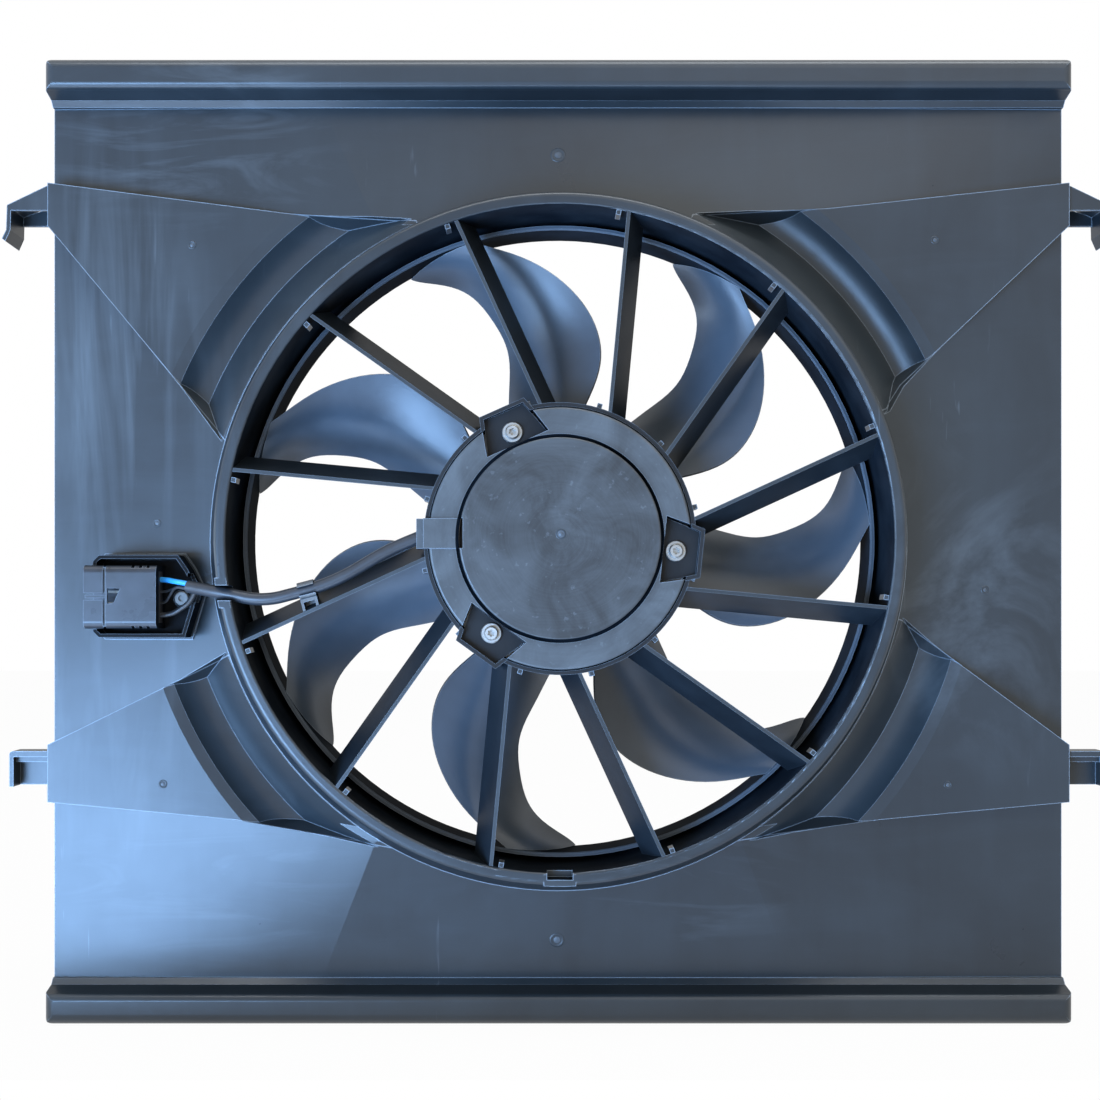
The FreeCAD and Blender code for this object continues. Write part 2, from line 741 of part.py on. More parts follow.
bolts = [spun(bolt, lug_first_angle - 90 + k * 120) for k in range(lug_count)]
save("flange_bolts", Part.makeCompound(bolts))

# Motor cover: a raised round cap, a groove, the outer face and three notches for the lugs
cover = disc(motor_radius, cover_front_y, motor_seat_y)
cover = cover.makeFillet(1.6, [e for e in cover.Edges if abs(e.BoundBox.YMax - cover_front_y) < 0.01])
cover_core = disc(motor_radius - cover_wall, cover_front_y + cover_wall, motor_seat_y + 1)
for k in range(lug_count):
    turn = lug_first_angle - 90 + k * 120
    notch = offset_plan(lug_outline, notch_gap)
    notch[0] = (notch[0][0], lug_inner_radius - notch_gap)
    notch[3] = (notch[3][0], lug_inner_radius - notch_gap)
    notch[1] = (notch[1][0], 90)
    notch[2] = (notch[2][0], 90)
    cover = cover.cut(spun(plan_block(notch, -100, 0), turn))
    cover_core = cover_core.cut(spun(plan_block(offset_plan(notch, cover_wall), -100, 0), turn))
groove_tool = tube(cap_radius + cap_groove, cap_radius, cover_front_y - 5, cover_front_y + 1.0)
cover = cover.cut(groove_tool)
cap = disc(cap_radius, cap_front_y, cover_front_y + 3)
cap = cap.makeFillet(1.2, [e for e in cap.Edges if abs(e.BoundBox.YMax - cap_front_y) < 0.01])
cover = cover.fuse(cap)
cover = cover.cut(cover_core)
cover = cover.cut(disc(cap_radius - 4, cap_front_y + cover_wall, cover_front_y + 4))
chamber_wall = tube(seal_ring_radius + 1, seal_ring_radius - 1, cover_front_y + cover_wall, motor_seat_y)
cover = cover.fuse(chamber_wall)
cover = cover.cut(box(-90, gland_right_x, -100, gland_back_y, gland_low_z, gland_high_z))
save("motor_cover", cover)

# Lead: straight runs joined by arcs that are tangent to both
lead_route = [
    at(lead_end_x, -57.5, -28.5),
    at(5 - rim_radius, -66.5, saddle_z),
    at(22 - duct_radius, lead_y, -37.5),
    at(-136, lead_y, -26.5),
    at(-103, lead_y, -6.5),
    at(-80, lead_y, 3.0),
]


def bend_radius(before, corner, after):
    into = corner - before
    out = after - corner
    turn = into.getAngle(out)
    return 0.45 * min(into.Length, out.Length) / math.tan(turn / 2)


def route_wire(points, names):
    edges = []
    last = points[0]
    for k in range(1, len(points) - 1):
        into = points[k] - points[k - 1]
        out = points[k + 1] - points[k]
        turn = into.getAngle(out)
        radius = bend_radius(points[k - 1], points[k], points[k + 1])
        print(names, "bend radius", round(radius, 1))
        cut_back = radius * math.tan(turn / 2)
        step_in = into * (1.0 / into.Length)
        step_out = out * (1.0 / out.Length)
        begin = points[k] - step_in * cut_back
        end = points[k] + step_out * cut_back
        inward = step_out - step_in
        inward = inward * (1.0 / inward.Length)
        hub = points[k] + inward * (radius / math.cos(turn / 2))
        middle = hub - inward * radius
        edges.append(Part.LineSegment(last, begin).toShape())
        edges.append(Part.Arc(begin, middle, end).toShape())
        last = end
    edges.append(Part.LineSegment(last, points[-1]).toShape())
    return Part.Wire(edges)


def round_lead(points, radius, name):
    path = route_wire(points, name)
    direction = points[1] - points[0]
    circle = Part.Wire(Part.Circle(points[0], direction, radius).toShape())
    pipe = path.makePipeShell([circle], True, False)
    print(name, "length", round(path.Length, 1), "volume ratio",
          round(pipe.Volume / (math.pi * radius * radius * path.Length), 3))
    return pipe


sheath = round_lead(lead_route, sheath_radius, "cable_sheath")
sheath_space = round_lead(lead_route, sheath_radius + lead_clearance, "space for the sheath")
duct_ring = duct_ring.cut(sheath_space)
skirt_lean = ring_spread / (ring_end_y - rim_y - duct_wall)
skirt_space = turned([
    (rim_radius - duct_wall + (rim_round - duct_wall) * skirt_lean, rim_y + rim_round),
    (rim_radius + 2, rim_y + rim_round),
    (ring_foot_radius + 2, ring_end_y + 2),
    (ring_foot_radius - duct_wall, ring_end_y + 2),
    (ring_foot_radius - duct_wall, ring_end_y),
])
save("duct_skirt", duct_ring.common(skirt_space))
save("duct_ring", duct_ring.cut(skirt_space))

# Cable gland: block that clips the lead into the gap of carrier ring and cover
gland = box(gland_left_x, gland_right_x, gland_front_y, gland_back_y, gland_low_z, gland_high_z)
gland = gland.makeFillet(1.5, [
    e for e in gland.Edges
    if abs(e.BoundBox.YMax - gland_front_y) < 0.01 and e.BoundBox.ZLength > 1
])
gland = gland.cut(box(-100, -carrier_radius - 0.0, gland_front_y - 1, -73, -20, 20))
gland = gland.cut(sheath)
gland = gland.cut(box(gland_right_x - 4, gland_right_x + 1, cover_front_y + 1.2, gland_back_y + 1, -20, 20))
gland = gland.cut(disc(seal_ring_radius + 1, -100, gland_back_y + 1))
lead_bore = Part.makeCylinder(sheath_radius - 0.9, 30, at(-82, lead_y, 2.5), at(1, 0, 0))
gland = gland.cut(lead_bore)
save("cable_gland", gland)
gland_cut = box(gland_left_x, gland_right_x, gland_front_y, gland_back_y, gland_low_z, gland_high_z)
ribs = [rib.cut(gland_cut).cut(sheath_space) for rib in ribs]
save("stator_ribs", Part.makeCompound([s for rib in ribs for s in rib.Solids if s.Volume > 200]))
pads = [pad.cut(sheath_space).cut(gland_cut) for pad in pads]
for rib in ribs:
    pads = [pad.cut(rib) for pad in pads]
save("rib_pads", Part.makeCompound([s for pad in pads for s in pad.Solids if s.Volume > 15]))
save("cable_sheath", sheath)

# Cable clip on the rib: open saddle behind the lead with a small square loop below it
run_start = lead_route[2]
run_end = lead_route[3]
run = run_end - run_start
run_unit = run * (1.0 / run.Length)
clip_at = run_start + run * 0.62
clip_length = 10.0
clip_low = clip_at - run_unit * (clip_length / 2)
clip_side = at(-run_unit.z, 0, run_unit.x)
clip_body = Part.makeCylinder(sheath_radius + 1.7, clip_length, clip_low, run_unit)
clip_hole = Part.makeCylinder(sheath_radius, clip_length + 2, clip_low - run_unit, run_unit)
mouth = Part.makeBox(clip_length + 2, 8, 5.2)
mouth.translate(at(-1, -8, -2.6))
slope = math.degrees(math.atan2(run_unit.z, run_unit.x))
mouth.rotate(at(0, 0, 0), at(0, -1, 0), slope)
mouth.translate(clip_low)
clip = clip_body.cut(clip_hole).cut(mouth)
foot_long = Part.makeBox(clip_length, 3.0, 15.0)
foot_long.translate(at(0, sheath_radius, -15.0))
foot_long.rotate(at(0, 0, 0), at(0, -1, 0), slope)
foot_long.translate(clip_low)
loop_wall = 1.5
loop_top_z = -sheath_radius - 1.2
loop = Part.makeBox(clip_length, 8.0, 9.5, at(0, sheath_radius - 7.5, loop_top_z - 9.5))
loop = loop.cut(Part.makeBox(
    clip_length - 2 * loop_wall, 10.0, 9.0,
    at(loop_wall, sheath_radius - 8.5, loop_top_z - 9.5 - loop_wall),
))
loop.rotate(at(0, 0, 0), at(0, -1, 0), slope)
loop.translate(clip_low)
clip = clip.fuse(foot_long).fuse(loop).cut(sheath)
for rib in ribs:
    clip = clip.cut(rib)
clip = max(clip.Solids, key=lambda s: s.Volume)
save("cable_clip", clip)

# Connector bracket: tray on the pad, open to the left where the connector comes out
bracket_outline = offset_plan(pad_outline, -1.5)
tray = plan_block(bracket_outline, bracket_wall_y, pad_y)
tray_space = plan_block(offset_plan(bracket_outline, -2.2), bracket_wall_y - 1, pad_y - bracket_thickness)
tray = tray.cut(tray_space)
tray = tray.cut(box(
    connector_left_x - 11, connector_left_x + 11, bracket_wall_y - 1, pad_y - bracket_thickness,
    connector_low_z - 0.3, connector_high_z + 0.3,
))
screw_post = disc(5.5, -44, pad_y - bracket_thickness, screw_x, screw_z)
tray = tray.fuse(screw_post).cut(disc(2.2, -50, pad_y + 5, screw_x, screw_z))
lead_exit = box(ring_foot_x - 9, ring_foot_x + 4, -70, pad_y - bracket_thickness - 5, -38, -20)
tray = tray.cut(lead_exit).cut(sheath_space)
tray = max(tray.Solids, key=lambda s: s.Volume)
save("connector_bracket", tray)
shroud_left = shroud_left.cut(disc(2.0 + thread_gap, pad_y - 1, pad_y + 8, screw_x, screw_z))
save("shroud_left", max(shroud_left.Solids, key=lambda s: s.Volume))
screw_head_y = -44.0
screw = disc(2.0, screw_head_y, pad_y + 5, screw_x, screw_z)
screw_head = disc(4.6, screw_head_y - 2.6, screw_head_y, screw_x, screw_z)
screw_head = screw_head.makeFillet(1.0, [
    e for e in screw_head.Edges if abs(e.BoundBox.YMax - screw_head_y + 2.6) < 0.01
])
screw = screw.fuse(screw_head)
star = disc(1.9, screw_head_y - 3, screw_head_y - 1.2, screw_x, screw_z)
save("bracket_screw", screw.cut(star))

# Connector housing: rounded block with a socket to the left
middle_y = (connector_front_y + pad_y - bracket_thickness) / 2
middle_z = (connector_low_z + connector_high_z) / 2
block = box(
    connector_left_x, connector_right_x, connector_front_y, pad_y - bracket_thickness,
    connector_low_z, connector_high_z,
)
block = block.makeFillet(4.5, [
    e for e in block.Edges
    if e.BoundBox.XLength > 1 and abs(e.BoundBox.YMax - connector_front_y) < 0.01
])
socket = box(
    connector_left_x - 1, connector_left_x + socket_depth, connector_front_y + connector_wall,
    pad_y - bracket_thickness - connector_wall, connector_low_z + connector_wall, connector_high_z - connector_wall,
)
socket = socket.makeFillet(3.0, [e for e in socket.Edges if e.BoundBox.XLength > 1])
block = block.cut(socket)
sleeve_groove = box(connector_left_x + 11.8, connector_left_x + 13.4, -90, 0, -90, 0)
sleeve_groove = sleeve_groove.cut(box(
    connector_left_x, connector_right_x, connector_front_y + 1.4, 0,
    connector_low_z + 1.2, connector_high_z - 1.2,
))
block = block.cut(sleeve_groove)
slit_low_z = middle_z - 1.9
slit_high_z = middle_z + 2.4
slit = box(
    connector_left_x - 1, connector_left_x + 13.4, connector_front_y - 1, connector_front_y + 5,
    slit_low_z, slit_high_z,
)
window_x = connector_left_x + 14.5
window_outline = [(window_x, -29.5), (window_x, -39.0), (window_x + 4.0, -38.2), (window_x + 8.0, -29.5)]
window = plan_block(window_outline, connector_front_y - 1, connector_front_y + 5)
latch = box(
    connector_left_x + 1.0, window_x, connector_front_y + 0.3, connector_front_y + 2.2,
    slit_low_z + 1.2, slit_high_z - 1.2,
)
block = block.cut(slit).cut(window).fuse(latch)
for k in range(3):
    left = connector_right_x - 6.0 - 4.6 * k
    block = block.cut(box(left, left + 2.0, connector_front_y - 1, -44, connector_low_z - 1, connector_low_z + 1.6))
    block = block.cut(box(left, left + 2.0, connector_front_y - 1, -44, connector_high_z - 1.6, connector_high_z + 1))
wire_seats = [(-47.5, -24.0), (-47.5, -45.7), (-47.5, -31.5), (-47.5, -38.5)]
wire_sizes = [wire_radius, wire_radius, thin_wire_radius, thin_wire_radius]
rear_seal = box(connector_right_x - 5, connector_right_x, -52.5, -42.5, -50.5, -19)
block = block.cut(rear_seal)
pins = []
for (y, z), size in zip(wire_seats, wire_sizes):
    pin_half = 1.4 if size == wire_radius else 0.75
    pins.append(box(
        connector_left_x + 8, connector_right_x - 8, y - 0.4, y + 0.4, z - pin_half, z + pin_half
    ))
for pin in pins:
    block = block.cut(pin)
save("connector_housing", block)
save("connector_pins", Part.makeCompound(pins))
front_seal = box(
    connector_left_x + socket_depth - 4, connector_left_x + socket_depth,
    connector_front_y + connector_wall + 0.0, pad_y - bracket_thickness - connector_wall,
    connector_low_z + connector_wall, connector_high_z - connector_wall,
)
front_seal = front_seal.makeFillet(3.0, [e for e in front_seal.Edges if e.BoundBox.XLength > 1])
seal_hole = box(
    connector_left_x, connector_left_x + socket_depth + 1, connector_front_y + 2 * connector_wall,
    pad_y - bracket_thickness - 2 * connector_wall,
    connector_low_z + 2 * connector_wall, connector_high_z - 2 * connector_wall,
)
save("socket_seal", front_seal.cut(seal_hole))

# Wires from the connector to the end of the sheath
wire_end = lead_route[0]
lead_line = lead_route[1] - lead_route[0]
lead_unit = lead_line * (1.0 / lead_line.Length)
aside = lead_unit.cross(at(0, 0, 1))
aside = aside * (1.0 / aside.Length)
upward = aside.cross(lead_unit)
seat_x = connector_right_x - 5
straight = 8.0
wires = []
for k, lift, sideways in ((0, 1.7, 0.0), (2, -1.3, -1.9), (3, -1.3, 1.9)):
    y, z = wire_seats[k]
    end = wire_end + upward * lift + aside * sideways
    route = [at(seat_x, y, z), at(seat_x + straight, y, z), end - lead_unit * straight, end]
    wires.append(round_lead(route, wire_sizes[k], "wire " + str(k)))
y, z = wire_seats[1]
low_route = [at(seat_x, y, z), at(seat_x + 11.5, y, z), at(lead_end_x - 0.5, y - 5.0, z + 7.0)]
low_route += [at(lead_end_x + 4.5, -57.8, -31.5)]
wires.insert(1, round_lead(low_route, wire_sizes[1], "wire 1"))
wires = [wire.cut(sheath) for wire in wires]
for wire in wires:
    rear_seal = rear_seal.cut(wire)
save("wire_seal", rear_seal)
save("blue_wire", wires[0])
save("black_wire", wires[1])
save("signal_wires", Part.makeCompound(wires[2:]))

# Control board with its larger parts
board = disc(board_radius, board_y, board_y + board_thickness)
save("control_board", board)
cans = [disc(5.0, board_y - 8.5, board_y, *polar(34, angle)) for angle in (60, 90, 120)]
chips = [
    box(-6, 6, board_y - 3, board_y, -6, 6),
    box(14, 22, board_y - 2.4, board_y, -30, -22),
    box(-22, -14, board_y - 2.4, board_y, -30, -22),
    box(-4, 4, board_y - 2.4, board_y, -34, -26),
]
save("board_parts", Part.makeCompound(cans + chips))

# Stator core and windings
core = tube(24.0, tube_radius, core_front_y, core_back_y)
tooth = box(22, core_radius - 3, core_front_y, core_back_y, -core_tooth_width / 2, core_tooth_width / 2)
shoe_ring = tube(core_radius, core_radius - 3.5, core_front_y, core_back_y)
shoe = box(40, 60, core_front_y - 1, core_back_y + 1, -10.0, 10.0).common(shoe_ring)
core = core.multiFuse(pattern(tooth.fuse(shoe), core_tooth_count))
save("stator_core", core)
coil_outline = [(25.5, -5.6), (43.4, -9.6), (43.4, 9.6), (25.5, 5.6)]
coil = plan_block(coil_outline, core_front_y - coil_height, core_back_y + coil_height)
coil = coil.cut(box(20, 50, core_front_y, core_back_y, -core_tooth_width / 2, core_tooth_width / 2))
save("windings", Part.makeCompound(pattern(coil, core_tooth_count)))

# Bearings
outer_race = tube(bearing_radius, inner_race_radius + race_gap, 0, bearing_width)
inner_race = tube(inner_race_radius, shaft_radius, 0, bearing_width)
outer_races = []
inner_races = []
for y in (bearing_front_y, bearing_rear_y):
    ring = outer_race.copy()
    ring.translate(at(0, y, 0))
    outer_races.append(ring)
    ring = inner_race.copy()
    ring.translate(at(0, y, 0))
    inner_races.append(ring)
save("bearing_outer_rings", Part.makeCompound(outer_races))
save("bearing_inner_rings", Part.makeCompound(inner_races))
shaft = disc(shaft_radius, shaft_front_y, shaft_end_y)
ring_groove = tube(shaft_radius + 1, shaft_radius - 0.6, bearing_front_y - 1.4, bearing_front_y - 0.4)
save("shaft", shaft.cut(ring_groove))
circlip = tube(shaft_radius + 1.8, shaft_radius - 0.6, bearing_front_y - 1.4, bearing_front_y - 0.4)
circlip = circlip.cut(box(0, 10, -100, 0, -1.2, 1.2))
save("retaining_ring", circlip)

# Rotor cup with magnets
cup = turned([
    (cup_radius, cup_front_y),
    (cup_radius, cup_back_y - 3),
    (cup_radius - 3, cup_back_y),
    (shaft_radius, cup_back_y),
    (shaft_radius, cup_back_y - 6),
    (cup_boss_radius, cup_back_y - 6),
    (cup_boss_radius, cup_back_y - cup_wall),
    (cup_radius - 4, cup_back_y - cup_wall),
    (cup_radius - cup_wall, cup_back_y - 4),
    (cup_radius - cup_wall, cup_front_y),
])
cup_holes = pattern(disc(7.0, -60, 0, 24, 0), 6, 15)
cup = cup.cut(fused(cup_holes))
fan_screw_circle = pattern(disc(2.0 + thread_gap, cup_back_y - 10, cup_back_y + 1, hub_post_circle, 0), hub_post_count, 45)
for hole in fan_screw_circle:
    cup = cup.cut(hole)
save("rotor_cup", cup)
magnet = tube(cup_radius - cup_wall, magnet_radius, magnet_front_y, magnet_back_y)
half_span = 360.0 / magnet_count / 2 - 0.9
wedge = plan_block([centre, polar(80, -half_span), polar(80, half_span)], -60, 0)
save("magnets", Part.makeCompound(pattern(magnet.common(wedge), magnet_count)))

# Fan hub: cup with a closed radiator side, ribs inside and four posts on the rotor cup
hub = turned([
    (hub_radius, hub_front_y),
    (hub_radius, hub_back_y - 6),
    (hub_radius - 1.8, hub_back_y - 1.8),
    (hub_radius - 6, hub_back_y),
    (0, hub_back_y),
    (0, hub_back_y - hub_wall),
    (hub_radius - 7, hub_back_y - hub_wall),
    (hub_radius - hub_wall, hub_back_y - 7),
    (hub_radius - hub_wall, hub_front_y),
])
hub_rib = box(61, hub_radius - 1, -34, hub_back_y - 1, -0.8, 0.8)
hub_ribs = [rib.common(disc(hub_radius - 1, -60, -11)) for rib in pattern(hub_rib, hub_rib_count)]
post = disc(hub_post_radius, cup_back_y, hub_back_y - 1, hub_post_circle, 0)
screw_hole = disc(2.6, -40, 0, hub_post_circle, 0)
collar = tube(61.5, 59.0, -34, hub_back_y - 1)
hub = hub.multiFuse(hub_ribs + pattern(post, hub_post_count, 45) + [collar])
for hole in pattern(screw_hole, hub_post_count, 45):
    hub = hub.cut(hole)
hub = hub.removeSplitter()
save("fan_hub", hub)
fan_screw = disc(2.0, cup_back_y - 4.5, hub_back_y, hub_post_circle, 0)
fan_screw = fan_screw.fuse(disc(4.6, hub_back_y, hub_back_y + 2.6, hub_post_circle, 0))
save("fan_screws", Part.makeCompound(pattern(fan_screw, hub_post_count, 45)))


# Blades: cambered sections on cylinders, lofted from hub to band
def blade_section(radius, near_angle, far_angle):
    spread = math.radians(far_angle - near_angle)
    chord_along = radius * spread
    chord_deep = blade_far_y - blade_near_y
    chord = math.hypot(chord_along, chord_deep)
    thick = blade_thickness * (1.0 if radius > 120 else 1.25)

    def spot(u, side):
        sag = blade_camber * 4.0 * u * (1.0 - u)
        half = thick * (0.28 + 0.72 * math.sin(math.pi * (0.12 + 0.80 * u))) / 2.0
        away = sag + side * half
        arc_length = chord_along * u + away * chord_deep / chord
        y = blade_near_y + chord_deep * u - away * chord_along / chord
        x, z = polar(radius, near_angle + math.degrees(arc_length / radius))
        return at(x, y, z)

    steps = [0.0, 0.12, 0.3, 0.5, 0.7, 0.88, 1.0]
    front = Part.BSplineCurve()
    front.interpolate([spot(u, 1.0) for u in steps])
    back = Part.BSplineCurve()
    back.interpolate([spot(u, -1.0) for u in reversed(steps)])
    return Part.Wire([
        front.toShape(),
        Part.LineSegment(spot(1.0, 1.0), spot(1.0, -1.0)).toShape(),
        back.toShape(),
        Part.LineSegment(spot(0.0, -1.0), spot(0.0, 1.0)).toShape(),
    ])


blade = Part.makeLoft([blade_section(*station) for station in blade_stations], True, False)
blade = blade.common(tube(band_radius, hub_radius, -60, 0))
print("blade valid", blade.isValid(), len(blade.Solids))
blades = pattern(blade, blade_count)
save("fan_blades", Part.makeCompound(blades))
band = turned([
    (band_radius, band_front_y + 0.8),
    (band_radius + 0.8, band_front_y),
    (band_radius + band_wall, band_front_y),
    (band_radius + band_wall, band_back_y - lip_thickness - 2.0),
    (band_radius + band_wall + 2.0, band_back_y - lip_thickness),
    (lip_radius, band_back_y - lip_thickness),
    (lip_radius, band_back_y),
    (band_radius + 3.0, band_back_y),
    (band_radius, band_back_y - 3.0),
])
save("fan_band", band)


# Hooks: open hooks above, pockets below
def upper_hook(side):
    out = -half_width
    tip = out - hook_reach
    profile = [
        (out, hook_high - 1.0), (tip, hook_high - 13.5),
        (tip - 0.5, hook_high - 29.0), (tip - 3.2, hook_high - 34.5),
        (tip - 1.0, hook_high - 36.2), (tip + hook_wall - 0.4, hook_high - 29.0),
        (tip + hook_wall, hook_high - 15.4), (out, hook_high - 4.0),
    ]
    roof = plan_block(profile, hook_front_y, -1.0)
    gusset_plan = [(out, hook_high - 3.0), (tip + 1, hook_high - 14.5)]
    gusset_plan += [(tip + 1, hook_high - 17.0), (out, hook_high - 17.0)]
    gusset = plan_block(gusset_plan, hook_front_y, hook_front_y + 2.5)
    web_plan = [(out, hook_high - 8.0), (tip + 1, hook_high - 15.0)]
    web_plan += [(tip + 1, hook_high - 21.0), (out, hook_high - 21.0)]
    web = plan_block(web_plan, -3.5, -1.0)
    hook = fused([roof, gusset, web])
    return hook if side < 0 else mirrored(hook)


def lower_hook(side):
    out = -half_width
    tip = out - hook_reach + 1.5
    top = pocket_high - 4.2
    low = pocket_low + 9.5
    roof = box(tip, out, hook_front_y, hook_back_y, top - 3.6, top)
    leg = box(tip, tip + hook_wall, hook_front_y, hook_back_y, low, top)
    floor = box(tip, out, hook_back_y - 2.5, hook_back_y, low, top)
    step = box(tip + 1, out, hook_front_y + 6.0, hook_back_y, top - 7.3, top - 3.3)
    hook = fused([roof, leg, floor, step])
    edges = [e for e in hook.Edges if e.BoundBox.YLength > 12 and abs(e.BoundBox.XMax - tip) < 0.1
             and e.BoundBox.ZMax > top - 0.1]
    hook = hook.makeFillet(2.2, edges)
    return hook if side < 0 else mirrored(hook)


save("hook_upper_left", upper_hook(-1))
save("hook_upper_right", upper_hook(1))
save("hook_lower_left", lower_hook(-1))
save("hook_lower_right", lower_hook(1))
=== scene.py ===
import bpy
import json
import math
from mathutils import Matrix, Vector
from mathutils.bvhtree import BVHTree


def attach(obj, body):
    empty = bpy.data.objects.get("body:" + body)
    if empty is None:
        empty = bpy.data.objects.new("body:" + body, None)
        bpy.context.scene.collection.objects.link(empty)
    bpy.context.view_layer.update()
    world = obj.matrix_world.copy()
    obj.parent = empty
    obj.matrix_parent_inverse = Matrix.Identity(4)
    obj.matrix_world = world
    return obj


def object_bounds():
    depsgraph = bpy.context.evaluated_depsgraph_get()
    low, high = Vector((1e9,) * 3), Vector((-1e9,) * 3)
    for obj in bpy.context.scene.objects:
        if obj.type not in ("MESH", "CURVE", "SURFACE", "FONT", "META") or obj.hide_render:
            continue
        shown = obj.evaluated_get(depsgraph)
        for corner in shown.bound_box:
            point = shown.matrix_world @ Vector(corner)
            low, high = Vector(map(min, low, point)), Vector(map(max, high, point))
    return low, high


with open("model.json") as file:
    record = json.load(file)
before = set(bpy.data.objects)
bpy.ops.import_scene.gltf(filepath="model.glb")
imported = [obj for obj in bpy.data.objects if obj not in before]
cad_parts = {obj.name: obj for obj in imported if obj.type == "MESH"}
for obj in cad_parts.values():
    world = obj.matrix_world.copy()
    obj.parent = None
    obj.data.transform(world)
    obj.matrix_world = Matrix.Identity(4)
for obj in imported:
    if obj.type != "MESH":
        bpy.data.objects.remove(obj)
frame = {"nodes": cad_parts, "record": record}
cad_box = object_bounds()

MM = 0.001
nodes = frame["nodes"]

# Camera: a plain lens one metre in front of the duct, a little left of and below the axis
CAMERA_PLACE = Vector((-0.0197, -1.015, -0.0445))
LENS = 51.49
SENSOR = 36.0
PICTURE = 1100.0
AXIS_PIXEL = (527.0, 613.0)
PIXEL_SLOPE = SENSOR / LENS / PICTURE

# Marks on the moulding, in pixels of the photo
SMALL_MARKS = ((192, 245), (935, 240), (163, 784), (948, 785), (157, 523), (985, 590))
GATE_MARKS = ((558, 155), (557, 940))
COVER_MARK = (561, 534)
PALE_SWIRLS = ((975, 520), (935, 610), (1010, 640))
PALE_STREAKS = ((120, 380), (95, 300), (110, 680), (330, 480))
PALE_SMEARS = ((200, 150), (170, 110), (650, 880), (210, 880))
PANEL_DEPTH = -0.025


def sight_line(pixel):
    """The direction from the camera to a pixel of the photo, with a depth of one."""
    across = (pixel[0] - AXIS_PIXEL[0]) * PIXEL_SLOPE
    up = (AXIS_PIXEL[1] - pixel[1]) * PIXEL_SLOPE
    return Vector((across, 1.0, up))


def panel_place(pixel):
    """The place on the panels that a pixel of the photo shows."""
    reach = PANEL_DEPTH - CAMERA_PLACE.y
    return CAMERA_PLACE + sight_line(pixel) * reach


def add_camera():
    data = bpy.data.cameras.new("camera")
    data.lens = LENS
    data.sensor_width = SENSOR
    data.sensor_height = SENSOR
    data.sensor_fit = "HORIZONTAL"
    data.shift_x = (PICTURE / 2 - AXIS_PIXEL[0]) / PICTURE
    data.shift_y = (AXIS_PIXEL[1] - PICTURE / 2) / PICTURE
    data.clip_start = 0.01
    camera = bpy.data.objects.new("camera", data)
    camera.location = CAMERA_PLACE
    camera.rotation_euler = (math.pi / 2, 0, 0)
    bpy.context.scene.collection.objects.link(camera)
    bpy.context.scene.camera = camera


add_camera()


# Colours and values that several finishes share
PLASTIC_IOR = 1.45
# Pale colour of the highlight painted along each edge
EDGE_HIGHLIGHT = (0.33, 0.39, 0.45)
# Painted shade: the dark dull skin laid on walls that stand along the axis
WALL_SHADE_DARK = (0.005, 0.007, 0.010)
WALL_SHADE_PALE = (0.013, 0.017, 0.022)
COVER_DARK = (0.022, 0.026, 0.029)
COVER_PALE = (0.105, 0.12, 0.13)
SHROUD_DARK = (0.015, 0.022, 0.028)
SHROUD_PALE = (0.048, 0.065, 0.078)
SHROUD_DUST = (0.24, 0.28, 0.31)

# How much painted shade, a dark dull skin without sheen, covers walls that stand along the axis
SHADE_ON_ALL_WALLS = 0.97
SHADE_ON_COVER_WALLS = 0.95
SHADE_ON_PANEL_WALLS = 0.45

# Painted shade fills the groove round the cap of the motor cover, which starts at this radius and is looked
# for over this width
GROOVE_START = 0.0595
GROOVE_WIDTH = 0.004


# Shader maths
class Value:
    """A socket that adds Math nodes when it is used in an expression."""

    def __init__(self, finish, socket):
        self.finish = finish
        self.socket = socket

    def math(self, operation, *others):
        return self.finish.node("ShaderNodeMath", {"operation": operation}, self, *others)

    def __add__(self, other):
        return self.math("ADD", other)

    def __radd__(self, other):
        return self.math("ADD", other)

    def __mul__(self, other):
        return self.math("MULTIPLY", other)

    def __sub__(self, other):
        return self.math("SUBTRACT", other)

    def __rsub__(self, other):
        return self.finish.node("ShaderNodeMath", {"operation": "SUBTRACT"}, other, self)

    def __truediv__(self, other):
        return self.math("DIVIDE", other)

    def __pow__(self, other):
        return self.math("POWER", other)


